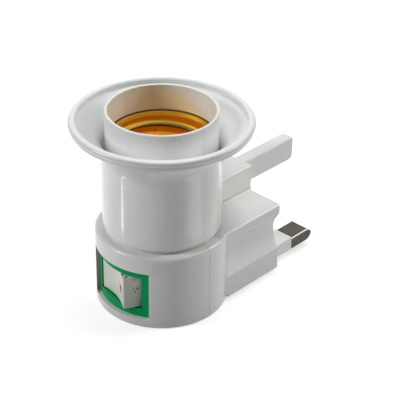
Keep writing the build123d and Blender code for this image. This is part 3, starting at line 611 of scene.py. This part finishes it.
class SCREW_OT_shell(bpy.types.Operator):
    """Roll the screw shell with its helical thread and finish it"""

    bl_idname = "lamp_holder.screw_shell"
    bl_label = "Roll the screw shell"

    points_round = 168
    steps_up = 110
    foot_bend = 1.2 * MM
    edge_round = 0.1 * MM

    def execute(self, context):
        sizes = context.scene.screw_shell_sizes
        count = self.points_round
        rings = self.section(sizes)
        vertices = [self.ring_point(sizes, r, z, around) for r, z in rings for around in range(count)]
        faces = []
        for ring in range(len(rings)):
            above = (ring + 1) % len(rings)
            for around in range(count):
                beside = (around + 1) % count
                faces.append((ring * count + around, ring * count + beside,
                              above * count + beside, above * count + around))
        mesh = bpy.data.meshes.new("rolled_screw_shell")
        mesh.from_pydata(vertices, [], faces)
        if mesh.validate():
            raise RuntimeError("The rolled screw shell's mesh has faults")
        mesh.update()
        for face in mesh.polygons:
            face.use_smooth = True
        shell = bpy.data.objects.new("rolled_screw_shell", mesh)
        context.scene.collection.objects.link(shell)
        mesh.materials.append(self.gold_sheet(context.scene.holder_colours.gold))
        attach(shell, HOLDER)
        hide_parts("screw_shell")
        return {"FINISHED"}

    def section(self, sizes):
        """Closed section as (radius or side, height): inside from mouth to floor, then outside back up."""
        low, high = SHELL_LOW.z, SHELL_HIGH.z
        bend, edge, hole = self.foot_bend, self.edge_round, sizes.floor_hole
        outer_bend = bend + sizes.sheet
        floor = low + sizes.sheet
        steps = [high - (high - floor - bend) * step / self.steps_up for step in range(self.steps_up + 1)]
        turns = [radians(angle) for angle in range(15, 91, 15)]
        inside = [("inside", z) for z in steps]
        inside += [(sizes.foot - bend + bend * cos(turn), floor + bend - bend * sin(turn)) for turn in turns]
        inside += [(hole + edge, floor), (hole, floor - edge)]
        outside = [(hole, low + edge), (hole + edge, low)]
        outside += [(sizes.foot - bend + outer_bend * cos(turn), low + outer_bend - outer_bend * sin(turn))
                    for turn in reversed(turns)]
        outside += [("outside", z) for z in reversed(steps)]
        return inside + outside

    def ring_point(self, sizes, r, z, around):
        """Point of the section at one angle, where the wall's radius follows the helix."""
        turn = tau * around / self.points_round
        if r == "inside":
            r = self.wall_radius(sizes, z, turn)
        elif r == "outside":
            r = self.wall_radius(sizes, z, turn) + sizes.sheet
        return (r * cos(turn), r * sin(turn), z)

    def wall_radius(self, sizes, z, turn):
        """Inner radius of the shell at a height and an angle."""
        back = radians(135)
        narrow_crest = 3.5
        rise_here = sizes.pitch * (turn - back) / tau
        wave = 0.5 + 0.5 * cos(tau * (z - sizes.top_crest - rise_here) / sizes.pitch)
        thread_low, thread_top = 29.4 * MM, sizes.top_crest + 1.15 * MM
        fade = 1 - smoothstep(z, thread_top - 0.6 * MM, thread_top + 0.5 * MM)
        fade *= smoothstep(z, thread_low, thread_low + 1.2 * MM)
        radius = sizes.groove - (sizes.groove - sizes.crest) * wave ** narrow_crest * fade
        at_neck = smoothstep(z, thread_top, thread_top + 1 * MM)
        at_foot = 1 - smoothstep(z, thread_low - 0.5 * MM, thread_low + 1 * MM)
        radius += (sizes.neck - sizes.groove) * at_neck + (sizes.foot - sizes.groove) * at_foot
        flare = smoothstep(z, SHELL_HIGH.z - 1.1 * MM, SHELL_HIGH.z)
        return radius + (sizes.mouth - sizes.neck) * flare

    def gold_sheet(self, gold):
        """Lacquered gold sheet: painted light brightening the grooves and low bands, a yellower painted sheen
        on up-facing flanks, painted shade on crests, their tips and undersides, and tarnish spots.
        """
        finish = Finish("gold_sheet")
        z = finish.axes()[2]
        radius, upwards = finish.radius(), finish.facing()[2]
        cloud = finish.noise(220.0, 3.0, 0.6)
        ringed = finish.noise(500.0, 2.0, 0.6, stretch=(0.15, 0.15, 3.0))
        spots = finish.noise(1100.0, 2.0) > 0.68
        deep_lift = fall(z, 46.3 * MM, 0.5 * MM)
        flank_sheen = rise(upwards, 0.2, 0.3) * (1 - deep_lift)
        centre = band(finish.across(12.5 * MM), -0.6, 1.0, 0.35)
        tip_shadow = fall(radius, 12.95 * MM, 0.25 * MM) * (1 - deep_lift) * centre
        # Painted light and shade: grooves and deep bands laid brighter, up-facing flanks a painted sheen,
        # crests, tips and down-facing undersides painted shade; the spots are tarnish.
        tint = finish.layers(
            finish.mix(cloud, shaded(gold, 0.85), shaded(gold, 1.08)),
            (rise(radius, 12.9 * MM, 0.5 * MM) * 0.5, shaded(gold, 1.25)),
            (deep_lift * 0.85, (1.0, 0.45, 0.015)),
            (fall(radius, 12.7 * MM, 0.4 * MM) * 0.9, (0.34, 0.16, 0.012)),
            (flank_sheen * 0.8, (0.42, 0.25, 0.015)),
            (flank_sheen * (z > 48.2 * MM) * 0.7, (0.46, 0.20, 0.008)),
            (tip_shadow * 0.8, (0.07, 0.055, 0.015)),
            (fall(upwards, -0.42, 0.15) * 0.85, (0.05, 0.035, 0.01)),
            (spots * 0.5, (0.25, 0.09, 0.01)),
        )
        roughness = (0.34 + 0.16 * ringed + 0.1 * cloud).clipped()
        return finish.surface(tint, roughness, finish.bump(ringed, 0.01 * MM), metallic=0.7)


def camera_axes(stage):
    """The camera's right, up and forward directions."""
    turn, height, roll = stage.azimuth, stage.elevation, stage.roll
    right = Vector((cos(turn), sin(turn), 0))
    forward = Vector((-sin(turn) * cos(height), cos(turn) * cos(height), -sin(height)))
    up = right.cross(forward)
    return cos(roll) * right + sin(roll) * up, cos(roll) * up - sin(roll) * right, forward


def towards(azimuth, elevation):
    """Unit vector towards an azimuth and elevation in degrees, azimuth counted from +X."""
    turn, height = radians(azimuth), radians(elevation)
    return Vector((cos(turn) * cos(height), sin(turn) * cos(height), sin(height)))


class STAGE_OT_build(bpy.types.Operator):
    """Build the floor, the lamps and the camera"""

    bl_idname = "lamp_holder.stage"
    bl_label = "Build the stage"

    middle = Vector((0, 8 * MM, 26 * MM))
    lamp_distance = 0.6
    floor_half = 3.0
    floor_drop = 0.05 * MM

    def execute(self, context):
        stage = context.scene.stage_settings
        warm, cool = (1.0, 0.985, 0.95), (0.97, 0.99, 1.0)
        self.build_camera(context, stage)
        self.build_world(context, stage)
        self.build_floor(context)
        self.build_lamp(context, "top_lamp", towards(100, 78), (0.55, 0.45), stage.top_power, cool)
        self.build_lamp(context, "left_lamp", towards(-122, 33), (0.10, 0.26), stage.left_power, cool)
        self.build_lamp(context, "right_lamp", towards(55, 30), (0.14, 0.30), stage.right_power, warm)
        context.scene.view_settings.view_transform = "Standard"
        return {"FINISHED"}

    def build_camera(self, context, stage):
        """Camera at the photograph's angle, with the holder where the picture has it."""
        right, up, forward = camera_axes(stage)
        data = bpy.data.cameras.new("photo_camera")
        data.sensor_fit = "HORIZONTAL"
        data.sensor_width = 36.0
        data.lens = stage.lens
        data.clip_start = 0.01
        camera = bpy.data.objects.new("photo_camera", data)
        turned = Matrix((right, up, -forward)).transposed().to_4x4()
        place = stage.across * right + stage.down * up - stage.distance * forward
        camera.matrix_world = Matrix.Translation(place) @ turned
        context.scene.collection.objects.link(camera)
        context.scene.camera = camera

    def seen(self, finish):
        """1 for the camera's own rays and for those that metal and glass send on, else 0."""
        path = finish.node("ShaderNodeLightPath", {})
        return (path["Is Camera Ray"] + path["Is Glossy Ray"] + path["Is Transmission Ray"]).clipped()

    def build_world(self, context, stage):
        """White where the camera or a reflection sees it, and a soft grey for light on the holder."""
        finish = Finish("studio_world", world=True)
        strength = stage.ambient + (1 - stage.ambient) * self.seen(finish)
        context.scene.world = finish.close(
            finish.node("ShaderNodeBackground", {}, Color=(1, 1, 1), Strength=strength)["Background"])

    def build_floor(self, context):
        """Pale floor that shows white round the holder and keeps its shadow."""
        half = self.floor_half
        mesh = bpy.data.meshes.new("studio_floor")
        mesh.from_pydata([(-half, -half, 0), (half, -half, 0), (half, half, 0), (-half, half, 0)], [],
                         [(0, 1, 2, 3)])
        mesh.materials.append(self.studio_paper())
        floor = bpy.data.objects.new("studio_floor", mesh)
        floor.location.z = -self.floor_drop
        context.scene.collection.objects.link(floor)

    def studio_paper(self):
        """Matt paper with a glow for what looks at it, and brighter strips for the sleeve to mirror."""
        finish = Finish("studio_paper")
        left_strip = self.strip(finish, (2, -12), -123.2, (44, 80), 3)
        right_strip = self.strip(finish, (17, 7), 97, (70, 92), 2.5)
        wide_strip = self.strip(finish, (15, -5), 21, (38, 82), 17)
        glossy = finish.node("ShaderNodeLightPath", {})["Is Glossy Ray"]
        mirrored = (6.0 * left_strip + 3.5 * right_strip + 1.1 * wide_strip) * glossy
        near_glow, far_lift, paper_grey = 0.62, 0.4, (0.62, 0.62, 0.61)
        level = near_glow + mirrored + far_lift * rise(finish.radius(), 0.15, 0.5)
        paper = finish.node("ShaderNodeBsdfDiffuse", {}, Color=paper_grey)["BSDF"]
        glow = finish.node("ShaderNodeEmission", {}, Color=level, Strength=1.0)["Emission"]
        dark = finish.node("ShaderNodeEmission", {}, Color=(0, 0, 0), Strength=0.0)["Emission"]
        lift = finish.node("ShaderNodeMixShader", {}, self.seen(finish), dark, glow)["Shader"]
        return finish.close(finish.node("ShaderNodeAddShader", {}, paper, lift)["Shader"])

    def strip(self, finish, start, azimuth, reach, half):
        """Mask of a narrow strip on the floor that the glossy sleeve mirrors; sizes in millimetres."""
        x, y, _ = finish.axes()
        way = towards(azimuth, 0)
        x, y = x - start[0] * MM, y - start[1] * MM
        ahead = x * way.x + y * way.y
        aside = x * way.y - y * way.x
        return (band(ahead, reach[0] * MM, reach[1] * MM, 6 * MM)
                * band(aside, -half * MM, half * MM, 1.2 * MM))

    def build_lamp(self, context, name, direction, size, power, colour):
        """Soft lamp that shines at the holder's middle and that the camera doesn't see."""
        data = bpy.data.lights.new(name, "AREA")
        data.shape = "RECTANGLE"
        data.size, data.size_y = size
        data.energy = power
        data.color = colour
        lamp = bpy.data.objects.new(name, data)
        lamp.location = self.middle + direction * self.lamp_distance
        lamp.rotation_euler = (-direction).to_track_quat("-Z", "Y").to_euler()
        lamp.visible_camera = False
        context.scene.collection.objects.link(lamp)


class HOLDER_PT_panel(bpy.types.Panel):
    """Operators, sizes and colours of the lamp holder"""

    bl_idname = "HOLDER_PT_panel"
    bl_label = "Lamp holder"
    bl_space_type = "VIEW_3D"
    bl_region_type = "UI"
    bl_category = "Lamp holder"

    def draw(self, context):
        layout = self.layout
        for operator in OPERATORS:
            layout.operator(operator.bl_idname)
        for group in GROUPS:
            owner = getattr(context.scene, group)
            box = layout.box()
            for name in owner.__annotations__:
                box.prop(owner, name)


GROUPS = {
    "holder_colours": HolderColours, "screw_shell_sizes": ScrewShellSizes, "stage_settings": StageSettings,
}
OPERATORS = (SHELLS_OT_finish, SWITCH_OT_finish, METAL_OT_finish, INSULATION_OT_finish, SCREW_OT_shell,
             STAGE_OT_build)


def register():
    """Register the property groups, operators and panel."""
    for cls in (*GROUPS.values(), *OPERATORS, HOLDER_PT_panel):
        bpy.utils.register_class(cls)
    for name, group in GROUPS.items():
        setattr(bpy.types.Scene, name, bpy.props.PointerProperty(type=group))


def unregister():
    """Take the classes out again."""
    for name in GROUPS:
        delattr(bpy.types.Scene, name)
    for cls in (HOLDER_PT_panel, *reversed(OPERATORS), *reversed(GROUPS.values())):
        bpy.utils.unregister_class(cls)


def main():
    """Dress the holder and build its stage."""
    register()
    for operator in OPERATORS:
        area, action = operator.bl_idname.split(".")
        getattr(getattr(bpy.ops, area), action)()


if __name__ == "__main__":
    main()
